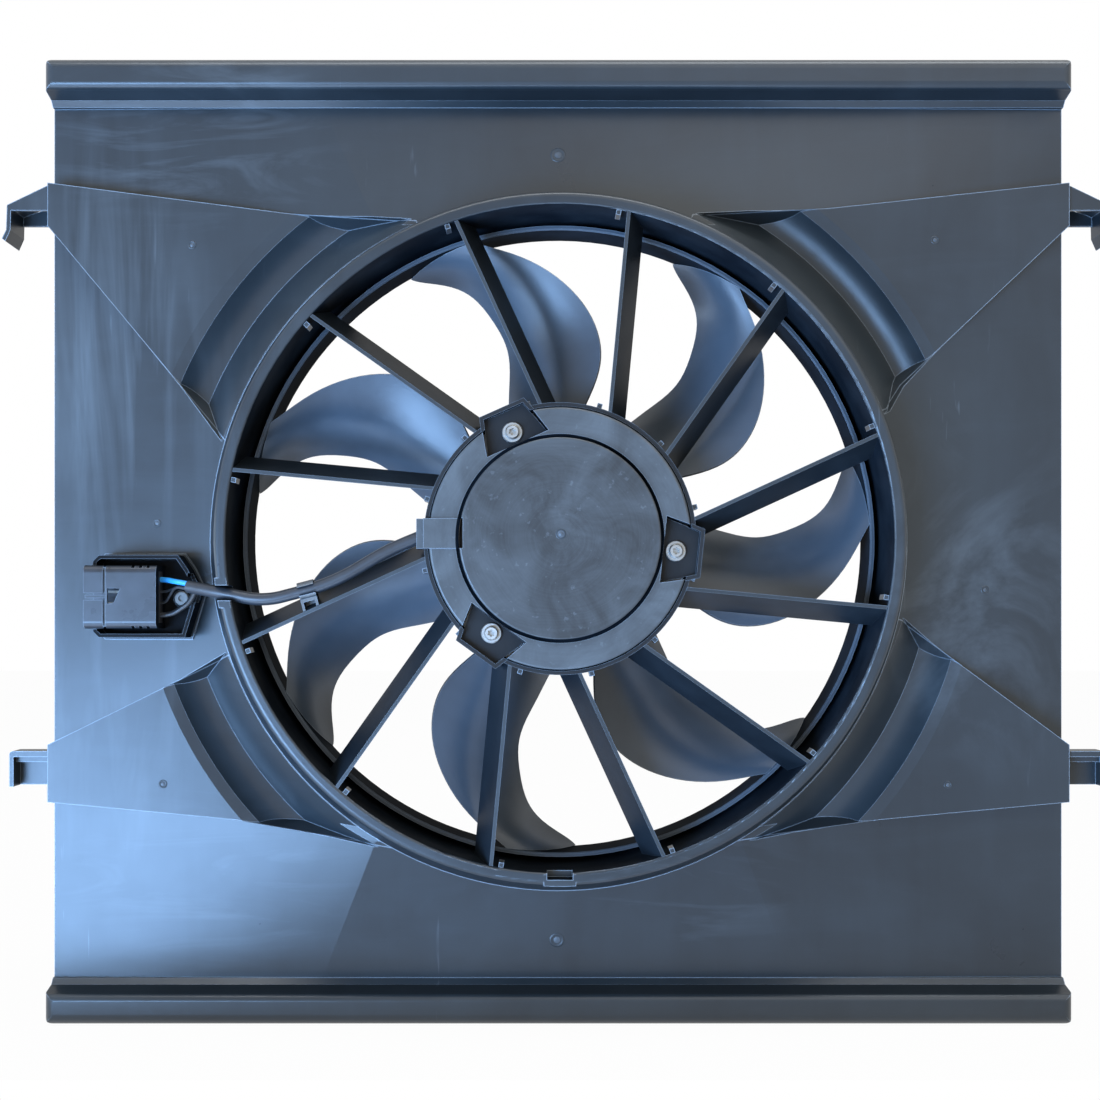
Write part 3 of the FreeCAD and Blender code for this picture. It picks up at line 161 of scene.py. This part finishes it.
class Finish:
    """One material: a Principled shader and the nodes that feed it."""

    def __init__(self, name, **constants):
        self.material = bpy.data.materials.new(name)
        self.material.use_nodes = True
        self.tree = self.material.node_tree
        self.shader = self.tree.nodes["Principled BSDF"]
        for socket, value in constants.items():
            self.shader.inputs[socket.replace("_", " ")].default_value = value
        self.place = self.node("ShaderNodeTexCoord", {}, output="Object")

    def node(self, kind, settings=None, *values, output=0, **named):
        made = self.tree.nodes.new(kind)
        for key, value in (settings or {}).items():
            if key == "stops":
                ramp = made.color_ramp
                while len(ramp.elements) < len(value):
                    ramp.elements.new(0.5)
                for element, (position, shade) in zip(ramp.elements, value):
                    element.position = position
                    element.color = (shade, shade, shade, 1)
            else:
                setattr(made, key, value)
        for k, value in enumerate(values):
            self.feed(made.inputs[k], value)
        for key, value in named.items():
            self.feed(made.inputs[key.replace("_", " ")], value)
        return Value(self, made.outputs[output])

    def feed(self, socket, value):
        if isinstance(value, Value):
            self.tree.links.new(value.socket, socket)
        elif isinstance(value, tuple) and len(value) == 3 and socket.type == "RGBA":
            socket.default_value = (*value, 1)
        else:
            socket.default_value = value

    def noise(self, scale, detail, roughness, where=None, distortion=0.0):
        return self.node(
            "ShaderNodeTexNoise", {}, Vector=where or self.place, Scale=scale, Detail=detail,
            Roughness=roughness, Distortion=distortion,
        )

    def part(self, axis):
        return self.node("ShaderNodeSeparateXYZ", {}, self.place, output=axis)

    def region(self, pixel, wide, high):
        """1 at a place of the photo on the panels, falling to 0 at an ellipse around it."""
        middle = panel_place(pixel)
        across = (self.part("X") - middle.x) / wide
        up = (self.part("Z") - middle.z) / high
        return self.ramp(across * across + up * up, (0.0, 1.0), (1.0, 0.0))

    def stretched(self, x, y, z):
        return self.node("ShaderNodeVectorMath", {"operation": "MULTIPLY"}, self.place, (x, y, z))

    def ramp(self, value, *stops):
        return self.node("ShaderNodeValToRGB", {"stops": stops}, value)

    def blend(self, mask, first, second):
        made = self.tree.nodes.new("ShaderNodeMix")
        made.data_type = "RGBA"
        for socket, value in ((made.inputs[0], mask), (made.inputs[6], first), (made.inputs[7], second)):
            self.feed(socket, value)
        return Value(self, made.outputs[2])

    def bump(self, height, strength, distance, under=None):
        more = {"Normal": under} if under else {}
        return self.node("ShaderNodeBump", {}, Strength=strength, Distance=distance, Height=height, **more)

    def show(self, mask, other):
        """Puts another shader over the material where the mask is 1."""
        lit = Value(self, self.shader.outputs[0])
        mixed = self.node("ShaderNodeMixShader", {}, mask, lit, other)
        self.tree.links.new(mixed.socket, self.tree.nodes["Material Output"].inputs["Surface"])

    def painted_wall_shade(self, share, groove=None):
        """Paints shade: walls that stand along the axis, and a groove, get a dark dull skin without sheen.
        """
        normal = self.node("ShaderNodeTexCoord", {}, output="Normal")
        facing = self.node("ShaderNodeSeparateXYZ", {}, normal, output="Y").math("ABSOLUTE")
        mask = self.ramp(facing, (0.22, share), (0.55, 0.0))
        if groove:
            mask = mask.math("MAXIMUM", groove)
        # The painted shade varies at random in tone
        shade_mottle = self.ramp(self.noise(26.0, 4.0, 0.6), (0.38, 0.0), (0.72, 1.0))
        colour = self.blend(shade_mottle, WALL_SHADE_DARK, WALL_SHADE_PALE)
        self.show(mask, self.node("ShaderNodeBsdfDiffuse", {}, colour, 1.0))

    def wire(self, **inputs):
        for key, value in inputs.items():
            self.feed(self.shader.inputs[key.replace("_", " ")], value)
        return self.material


def painted_edge_highlight(finish, reach):
    """1 along each edge of the moulding, where a pale highlight is painted, and 0 on its faces."""
    rounded = finish.node("ShaderNodeBevel", {"samples": 6}, Radius=reach)
    flat = finish.node("ShaderNodeNewGeometry", {}, output="Normal")
    same = finish.node("ShaderNodeVectorMath", {"operation": "DOT_PRODUCT"}, rounded, flat, output="Value")
    return finish.ramp(1 - same, (0.015, 0.0), (0.12, 1.0))


def moulded_plastic(name, dark, pale, rough, scale, grain=0.2, scuffs=0.1, ior=PLASTIC_IOR, edge_highlight=0.7):
    """Black moulded plastic: fine spark grain, cloudy flow marks and a few pale scuffs."""
    finish = Finish(name, Coat_Roughness=rough, IOR=ior)
    cloud = finish.noise(1.0, 4.0, 0.55, finish.stretched(scale, scale, scale), 0.6)
    fine = finish.noise(70.0, 3.0, 0.6)
    long_marks = finish.noise(1.0, 5.0, 0.62, finish.stretched(14.0, 9.0, 46.0), 1.4)
    scuff = finish.ramp(long_marks, (0.56, 0.0), (0.78, 1.0)) * finish.ramp(cloud, (0.45, 0.0), (0.7, 1.0))
    haze = finish.ramp(cloud, (0.3, 0.0), (0.75, 1.0)) * 0.55 + fine * 0.14 + scuff * scuffs
    moulded = finish.blend(haze, dark, pale)
    # Painted highlight along each edge
    colour = finish.blend(painted_edge_highlight(finish, 0.5 * MM) * edge_highlight, moulded, EDGE_HIGHLIGHT)
    spark = finish.noise(1500.0, 2.0, 0.6)
    flow = finish.noise(11.0, 3.0, 0.5)
    normal = finish.bump(spark, grain, 0.00018, finish.bump(flow, 0.35, 0.0012))
    roughness = rough + (fine - 0.5) * 0.10 + (cloud - 0.5) * 0.16 + scuff * 0.08
    coat = 0.12 + cloud * 0.16
    # Painted shade on the walls along the axis
    finish.painted_wall_shade(SHADE_ON_ALL_WALLS)
    return finish.wire(Base_Color=colour, Roughness=roughness, Coat_Weight=coat, Normal=normal)


def shroud_plastic(name, wall_shade_share):
    """The large moulding: black plastic with pale swirls, upright streaks and wiped smears."""
    finish = Finish(name, Coat_Roughness=0.28, IOR=PLASTIC_IOR)
    cloud = finish.noise(6.0, 4.0, 0.55, distortion=0.6)
    fine = finish.noise(70.0, 3.0, 0.6)
    curl = finish.ramp(finish.noise(9.0, 5.0, 0.62, distortion=2.6), (0.45, 0.0), (0.68, 1.0))
    upright = finish.noise(1.0, 4.0, 0.6, finish.stretched(30.0, 10.0, 3.2), 0.8)
    upright = finish.ramp(upright, (0.46, 0.0), (0.70, 1.0))
    level = finish.noise(1.0, 5.0, 0.62, finish.stretched(8.0, 9.0, 40.0), 1.2)
    level = finish.ramp(level, (0.50, 0.0), (0.74, 1.0))
    swirls = sum((finish.region(spot, 0.085, 0.095) for spot in PALE_SWIRLS), 0.0)
    streaks = sum((finish.region(spot, 0.075, 0.13) for spot in PALE_STREAKS), 0.0)
    smears = sum((finish.region(spot, 0.10, 0.06) for spot in PALE_SMEARS), 0.0)
    dust = swirls * curl * 0.10 + streaks * upright * 0.17 + smears * level * 0.17
    scratch = finish.noise(1.0, 2.0, 0.5, finish.stretched(240.0, 60.0, 18.0), 0.5)
    scratch = finish.ramp(scratch, (0.71, 0.0), (0.78, 1.0)) * finish.ramp(cloud, (0.5, 0.0), (0.62, 1.0))
    haze = finish.ramp(cloud, (0.3, 0.0), (0.75, 1.0)) * 0.45 + fine * 0.12 + level * 0.12 + upright * 0.10
    moulded = finish.blend(haze, SHROUD_DARK, SHROUD_PALE)
    dusty = finish.blend(dust + scratch * 0.25, moulded, SHROUD_DUST)
    # Painted highlight along each edge
    colour = finish.blend(painted_edge_highlight(finish, 1.0 * MM), dusty, EDGE_HIGHLIGHT)
    spark = finish.noise(1500.0, 2.0, 0.6)
    flow = finish.noise(11.0, 3.0, 0.5)
    normal = finish.bump(spark, 0.22, 0.00016, finish.bump(flow, 0.4, 0.0012))
    roughness = 0.31 + (fine - 0.5) * 0.08 + (cloud - 0.5) * 0.14 + dust * 0.10
    coat = 0.14 + cloud * 0.16
    # Painted shade on the walls along the axis
    finish.painted_wall_shade(wall_shade_share)
    return finish.wire(Base_Color=colour, Roughness=roughness, Coat_Weight=coat, Normal=normal)


def turned_cover_plastic():
    """The motor cover: the same plastic with faint circular wiping marks around the axis."""
    finish = Finish("cover_plastic", Coat_Roughness=0.25, IOR=PLASTIC_IOR)
    across = finish.part("X")
    up = finish.part("Z")
    radius = (across * across + up * up) ** 0.5
    wobble = finish.noise(22.0, 3.0, 0.55)
    rings = finish.node(
        "ShaderNodeTexNoise", {"noise_dimensions": "1D"}, W=radius * 700.0 + wobble * 7.0, Scale=1.0,
        Detail=4.0, Roughness=0.7,
    )
    cloud = finish.noise(24.0, 5.0, 0.62, distortion=1.2)
    patch = finish.ramp(cloud, (0.36, 0.0), (0.70, 1.0))
    specks = finish.ramp(finish.noise(260.0, 2.0, 0.5), (0.66, 0.0), (0.74, 1.0))
    # The ring outside the cap is painted paler, a painted sheen
    outer_sheen = finish.ramp(radius, (0.060, 0.0), (0.066, 1.0))
    haze = patch * 0.5 + rings * 0.22 + specks * 0.4 + outer_sheen * 0.35
    moulded = finish.blend(haze, COVER_DARK, COVER_PALE)
    # Painted highlight along each edge
    colour = finish.blend(painted_edge_highlight(finish, 0.8 * MM) * 0.7, moulded, EDGE_HIGHLIGHT)
    # Painted shade in the groove round the cap
    past_cap = (radius - GROOVE_START) / GROOVE_WIDTH
    groove = finish.ramp(past_cap, (0.15, 0.0), (0.20, 1.0), (0.70, 1.0), (0.75, 0.0))
    spark = finish.noise(1600.0, 2.0, 0.6)
    normal = finish.bump(spark, 0.3, 0.00016, finish.bump(rings, 0.14, 0.0002))
    roughness = 0.30 + rings * 0.10 + patch * 0.12
    # Painted shade on the walls along the axis and in the groove
    finish.painted_wall_shade(SHADE_ON_COVER_WALLS, groove)
    return finish.wire(Base_Color=colour, Roughness=roughness, Coat_Weight=0.25 + patch * 0.2, Normal=normal)


def zinc_steel(name, dark, pale, rough):
    """Zinc-plated steel: cloudy plating over drawn grain."""
    finish = Finish(name, Metallic=1.0)
    cloud = finish.noise(180.0, 4.0, 0.6)
    grain = finish.noise(1.0, 3.0, 0.6, finish.stretched(900.0, 200.0, 900.0))
    colour = finish.blend(cloud, dark, pale)
    normal = finish.bump(grain, 0.25, 0.0001)
    return finish.wire(Base_Color=colour, Roughness=rough + cloud * 0.2, Normal=normal)


def cast_aluminium():
    """The motor housing's metal, with a coarse cast skin."""
    finish = Finish("cast_aluminium", Metallic=1.0)
    grain = finish.noise(420.0, 4.0, 0.65)
    cloud = finish.noise(30.0, 3.0, 0.5)
    colour = finish.blend(cloud, (0.42, 0.43, 0.44), (0.60, 0.61, 0.62))
    normal = finish.bump(grain, 0.5, 0.0003)
    return finish.wire(Base_Color=colour, Roughness=0.42 + grain * 0.2, Normal=normal)


def soft_cover(name, colour_low, colour_high, rough, scale=160.0):
    """Cable sheath, seals and wires: extruded or moulded, with a light dusting."""
    finish = Finish(name, Coat_Roughness=0.3)
    cloud = finish.noise(scale, 4.0, 0.55)
    streaks = finish.noise(1.0, 3.0, 0.5, finish.stretched(60.0, 700.0, 700.0))
    colour = finish.blend(cloud * 0.7 + streaks * 0.3, colour_low, colour_high)
    normal = finish.bump(streaks, 0.18, 0.0002)
    coat = 0.15 + cloud * 0.1
    return finish.wire(Base_Color=colour, Roughness=rough + cloud * 0.14, Coat_Weight=coat, Normal=normal)


def copper_winding():
    """Lacquered copper wire, wound in even turns."""
    finish = Finish("copper_winding", Metallic=1.0)
    turns = finish.node(
        "ShaderNodeTexWave", {"bands_direction": "Y"}, Vector=finish.place, Scale=260.0, Distortion=0.6,
    )
    colour = finish.blend(turns, (0.30, 0.10, 0.035), (0.72, 0.32, 0.12))
    normal = finish.bump(turns, 0.8, 0.0005)
    return finish.wire(Base_Color=colour, Roughness=0.25 + turns * 0.12, Normal=normal)


def board_mask():
    """The green mask of the control board, with tracks under it."""
    finish = Finish("board_mask", Coat_Roughness=0.15)
    cells = finish.node("ShaderNodeTexVoronoi", {}, Vector=finish.place, Scale=300.0)
    tracks = finish.ramp(cells, (0.25, 0.0), (0.3, 1.0))
    colour = finish.blend(tracks, (0.02, 0.12, 0.05), (0.04, 0.2, 0.09))
    return finish.wire(Base_Color=colour, Roughness=0.3 + tracks * 0.1, Coat_Weight=0.4 + tracks * 0.1)


# The panels take painted shade on part of their walls; the duct takes it on all, the inside of the duct
# among them
SHROUD = shroud_plastic("shroud_plastic", SHADE_ON_PANEL_WALLS)
DUCT = shroud_plastic("duct_plastic", SHADE_ON_ALL_WALLS)
RIB = moulded_plastic("rib_plastic", SHROUD_DARK, SHROUD_PALE, 0.38, 14.0, grain=0.3, scuffs=0.2, edge_highlight=0.4)
FAN = moulded_plastic(
    "fan_plastic", (0.045, 0.059, 0.076), (0.115, 0.15, 0.19), 0.33, 11.0, grain=0.3, scuffs=0.2,
)
CONNECTOR = moulded_plastic(
    "connector_plastic", (0.018, 0.021, 0.026), (0.06, 0.07, 0.085), 0.30, 40.0, scuffs=0.15,
)
# The bracket is painted near black and dull, a painted shade over its pocket
BRACKET_SHADE = moulded_plastic(
    "bracket_painted_shade", (0.004, 0.005, 0.006), (0.012, 0.014, 0.018), 0.75, 40.0, ior=1.2,
)
CARRIER = moulded_plastic(
    "carrier_plastic", (0.006, 0.007, 0.009), (0.020, 0.023, 0.026), 0.6, 40.0, ior=1.3, edge_highlight=0.5,
)
CLIP = moulded_plastic("clip_plastic", (0.10, 0.10, 0.10), (0.26, 0.26, 0.25), 0.35, 90.0)
# The pale dot of the mould marks, a painted highlight
DOT = moulded_plastic("mark_highlight_plastic", (0.05, 0.06, 0.07), (0.16, 0.19, 0.22), 0.4, 90.0)
COVER = turned_cover_plastic()
STEEL = zinc_steel("zinc_steel", (0.26, 0.27, 0.27), (0.46, 0.47, 0.46), 0.36)
DULL_STEEL = zinc_steel("dull_steel", (0.10, 0.11, 0.11), (0.24, 0.25, 0.25), 0.5)
CAST = cast_aluminium()
RUBBER = soft_cover("seal_rubber", (0.02, 0.02, 0.022), (0.05, 0.05, 0.052), 0.55)
SHEATH = soft_cover("sheath_black", (0.016, 0.019, 0.024), (0.05, 0.058, 0.07), 0.34, 90.0)
BLUE = soft_cover("wire_blue", (0.03, 0.34, 0.90), (0.08, 0.52, 1.0), 0.28)
BLACK_WIRE = soft_cover("wire_black", (0.012, 0.013, 0.015), (0.035, 0.038, 0.042), 0.3)
WINDING = copper_winding()
BOARD = board_mask()
TIN = soft_cover("tin_plate", (0.55, 0.53, 0.48), (0.75, 0.73, 0.68), 0.25)

# The record's material slots, then the nodes that have a finish of their own
FINISHES = {
    "shroud_plastic": SHROUD,
    "fan_plastic": FAN,
    "cover_plastic": COVER,
    "cast_housing": CAST,
    "steel": STEEL,
    "magnet_black": RUBBER,
    "copper": WINDING,
    "terminal": TIN,
    "seal_rubber": RUBBER,
    "board_green": BOARD,
    "component_black": CONNECTOR,
    "connector_plastic": CONNECTOR,
    "sheath_black": SHEATH,
    "wire_blue": BLUE,
    "wire_black": BLACK_WIRE,
}
OWN_FINISHES = {
    "cable_clip": CLIP,
    "connector_bracket": BRACKET_SHADE,
    "stator_ribs": RIB,
    "motor_carrier": CARRIER,
    "duct_ring": DUCT,
    "bracket_screw": DULL_STEEL,
}
for row in frame["record"]["subparts"]:
    carried = nodes[row["node"]]
    carried.data.materials.clear()
    carried.data.materials.append(FINISHES[row["material_slot"]])
for name, finish in OWN_FINISHES.items():
    nodes[name].data.materials[0] = finish


# Ejector marks, gate marks and the mark in the middle of the motor cover
surfaces = {}


def seen_surface(pixel, names):
    """The place and the normal of the nearest surface that a pixel of the photo shows."""
    depsgraph = bpy.context.evaluated_depsgraph_get()
    hits = []
    for name in names:
        if name not in surfaces:
            surfaces[name] = BVHTree.FromObject(nodes[name], depsgraph)
        place, normal, _, distance = surfaces[name].ray_cast(CAMERA_PLACE, sight_line(pixel))
        if place:
            hits.append((distance, place, normal))
    _, place, normal = min(hits, key=lambda hit: hit[0])
    return place, -normal if normal.y > 0 else normal


EJECTOR_RADIUS = 2.8 * MM
GATE_RADIUS = 5.0 * MM
COVER_MARK_RADIUS = 3.6 * MM
ROUND_STEPS = 32
DOT_SHARE = 0.5

# Each pair is a share of the mark's radius and a height over the surface in millimetres
RAISED_DISC = (
    (0.01, 0.30), (0.34, 0.30), (0.42, 0.12), (0.62, 0.12), (0.72, 0.34), (0.90, 0.30), (1.0, -0.25),
)
SUNKEN_DISC = ((0.01, 0.35), (0.18, 0.30), (0.26, 0.10), (0.60, 0.06), (0.78, 0.20), (1.0, -0.20))


def mould_mark(name, places, radius, profile):
    """Round marks on the moulding: a pale dot, a painted highlight, in a ring darkened by painted shade,
    turned from one profile.
    """
    points = []
    faces = []
    in_ring = []
    for place, normal in places:
        side = normal.orthogonal().normalized()
        other = normal.cross(side)
        first = len(points)
        for share, lift in profile:
            for k in range(ROUND_STEPS):
                turn = math.tau * k / ROUND_STEPS
                spoke = side * math.cos(turn) + other * math.sin(turn)
                points.append(place + spoke * share * radius + normal * lift * MM)
        faces.append([first + k for k in range(ROUND_STEPS)])
        in_ring.append(0)
        for ring in range(len(profile) - 1):
            middle_share = (profile[ring][0] + profile[ring + 1][0]) / 2
            in_ring += [int(middle_share > DOT_SHARE)] * ROUND_STEPS
            for k in range(ROUND_STEPS):
                a = first + ring * ROUND_STEPS + k
                b = first + ring * ROUND_STEPS + (k + 1) % ROUND_STEPS
                faces.append([a, a + ROUND_STEPS, b + ROUND_STEPS, b])
    mesh = bpy.data.meshes.new(name)
    mesh.from_pydata(points, [], faces)
    mesh.polygons.foreach_set("use_smooth", [True] * len(mesh.polygons))
    # The pale dot, a painted highlight, and the ring around it with painted wall shade
    mesh.materials.append(DOT)
    mesh.materials.append(RIB)
    mesh.polygons.foreach_set("material_index", in_ring)
    made = bpy.data.objects.new(name, mesh)
    bpy.context.scene.collection.objects.link(made)
    return made


PANELS = [name for name in nodes if name.startswith(("shroud", "corner"))]
small_places = [seen_surface(pixel, PANELS) for pixel in SMALL_MARKS]
marks = mould_mark("ejector_marks", small_places, EJECTOR_RADIUS, RAISED_DISC)
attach(marks, "shroud")
gate_places = [seen_surface(pixel, PANELS) for pixel in GATE_MARKS]
gates = mould_mark("gate_marks", gate_places, GATE_RADIUS, RAISED_DISC)
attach(gates, "shroud")
cover_places = [seen_surface(COVER_MARK, ["motor_cover"])]
centre_mark = mould_mark("cover_mark", cover_places, COVER_MARK_RADIUS, SUNKEN_DISC)
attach(centre_mark, "shroud")


# Stage: a pale floor under the shroud's lower rail and a pale background
RAYS_THAT_SEE_WHITE = ("Camera", "Glossy", "Transmission")
FLOOR_WHITE_SHARE = 0.97
FLOOR_GAP = 0.4 * MM
FLOOR_FAR = 6.0
# The floor ends close in front of the shroud, so that the low lamps reach it
FLOOR_NEAR = -0.15
WORLD_LIGHT = (1.0, 0.98, 0.95, 1.0)
WORLD_STRENGTH = 0.30


def add_stage():
    """A floor that cameras and reflections see as white and that takes a light shadow."""
    floor_z = cad_box[0][2] - FLOOR_GAP
    mesh = bpy.data.meshes.new("floor")
    corners = [
        (-FLOOR_FAR, FLOOR_NEAR, floor_z), (FLOOR_FAR, FLOOR_NEAR, floor_z),
        (FLOOR_FAR, FLOOR_FAR, floor_z), (-FLOOR_FAR, FLOOR_FAR, floor_z),
    ]
    mesh.from_pydata(corners, [], [(0, 1, 2, 3)])
    floor = bpy.data.objects.new("floor", mesh)
    bpy.context.scene.collection.objects.link(floor)
    paint = Finish("floor_paint", Base_Color=(0.9, 0.9, 0.9, 1), Roughness=0.9)
    kinds = ["Is %s Ray" % kind for kind in RAYS_THAT_SEE_WHITE]
    camera, glossy, through = [paint.node("ShaderNodeLightPath", {}, output=kind) for kind in kinds]
    ray = camera.math("MAXIMUM", glossy).math("MAXIMUM", through)
    paint.show(ray * FLOOR_WHITE_SHARE, paint.node("ShaderNodeEmission", {}, (1.0, 1.0, 1.0), 1.0))
    mesh.materials.append(paint.material)


def add_world():
    """A white background for the same rays and a dim, warm one as light for all others."""
    world = bpy.data.worlds.new("studio")
    bpy.context.scene.world = world
    world.use_nodes = True
    tree = world.node_tree
    shown = tree.nodes["Background"]
    shown.inputs["Color"].default_value = (1.0, 1.0, 1.0, 1.0)
    shown.inputs["Strength"].default_value = 1.0
    dim = tree.nodes.new("ShaderNodeBackground")
    dim.inputs["Color"].default_value = WORLD_LIGHT
    dim.inputs["Strength"].default_value = WORLD_STRENGTH
    path = tree.nodes.new("ShaderNodeLightPath")
    total = path.outputs["Is %s Ray" % RAYS_THAT_SEE_WHITE[0]]
    for kind in RAYS_THAT_SEE_WHITE[1:]:
        either = tree.nodes.new("ShaderNodeMath")
        either.operation = "MAXIMUM"
        tree.links.new(total, either.inputs[0])
        tree.links.new(path.outputs["Is %s Ray" % kind], either.inputs[1])
        total = either.outputs[0]
    mix = tree.nodes.new("ShaderNodeMixShader")
    tree.links.new(total, mix.inputs[0])
    tree.links.new(dim.outputs[0], mix.inputs[1])
    tree.links.new(shown.outputs[0], mix.inputs[2])
    tree.links.new(mix.outputs[0], tree.nodes["World Output"].inputs["Surface"])


def add_lamp(name, place, target, size, power, colour):
    """A rectangular area lamp that looks at a target."""
    data = bpy.data.lights.new(name, "AREA")
    data.shape = "RECTANGLE"
    data.size = size[0]
    data.size_y = size[1]
    data.energy = power
    data.color = colour
    lamp = bpy.data.objects.new(name, data)
    lamp.location = place
    lamp.rotation_euler = (Vector(target) - Vector(place)).to_track_quat("-Z", "Y").to_euler()
    bpy.context.scene.collection.objects.link(lamp)


# Each lamp: its name, its place, the point it looks at, its size, its watts and its colour
LAMPS = (
    ("sky_window", (-1.00, -1.45, -0.48), (-0.24, 0, -0.12), (1.1, 0.66), 56.0, (0.30, 0.56, 1.0)),
    ("sky_low", (-1.25, -1.0, -1.15), (0, 0, 0), (1.5, 1.3), 19.0, (0.36, 0.60, 1.0)),
    ("sky_under", (-0.30, -0.8, -1.6), (0, 0, 0), (1.4, 0.8), 24.0, (0.42, 0.64, 1.0)),
    ("sky_left", (-1.7, -0.2, -0.1), (0, 0, 0), (1.8, 0.5), 10.0, (0.62, 0.80, 1.0)),
    ("front_soft", (1.2, -1.9, 1.9), (0, 0, 0), (2.8, 2.0), 17.0, (1.0, 0.98, 0.95)),
    ("top_soft", (0.1, -0.3, 1.6), (0, 0, 0.1), (1.6, 0.4), 12.0, (0.92, 0.96, 1.0)),
)

add_stage()
add_world()
for row in LAMPS:
    add_lamp(*row)

bpy.context.scene.view_settings.view_transform = "Standard"
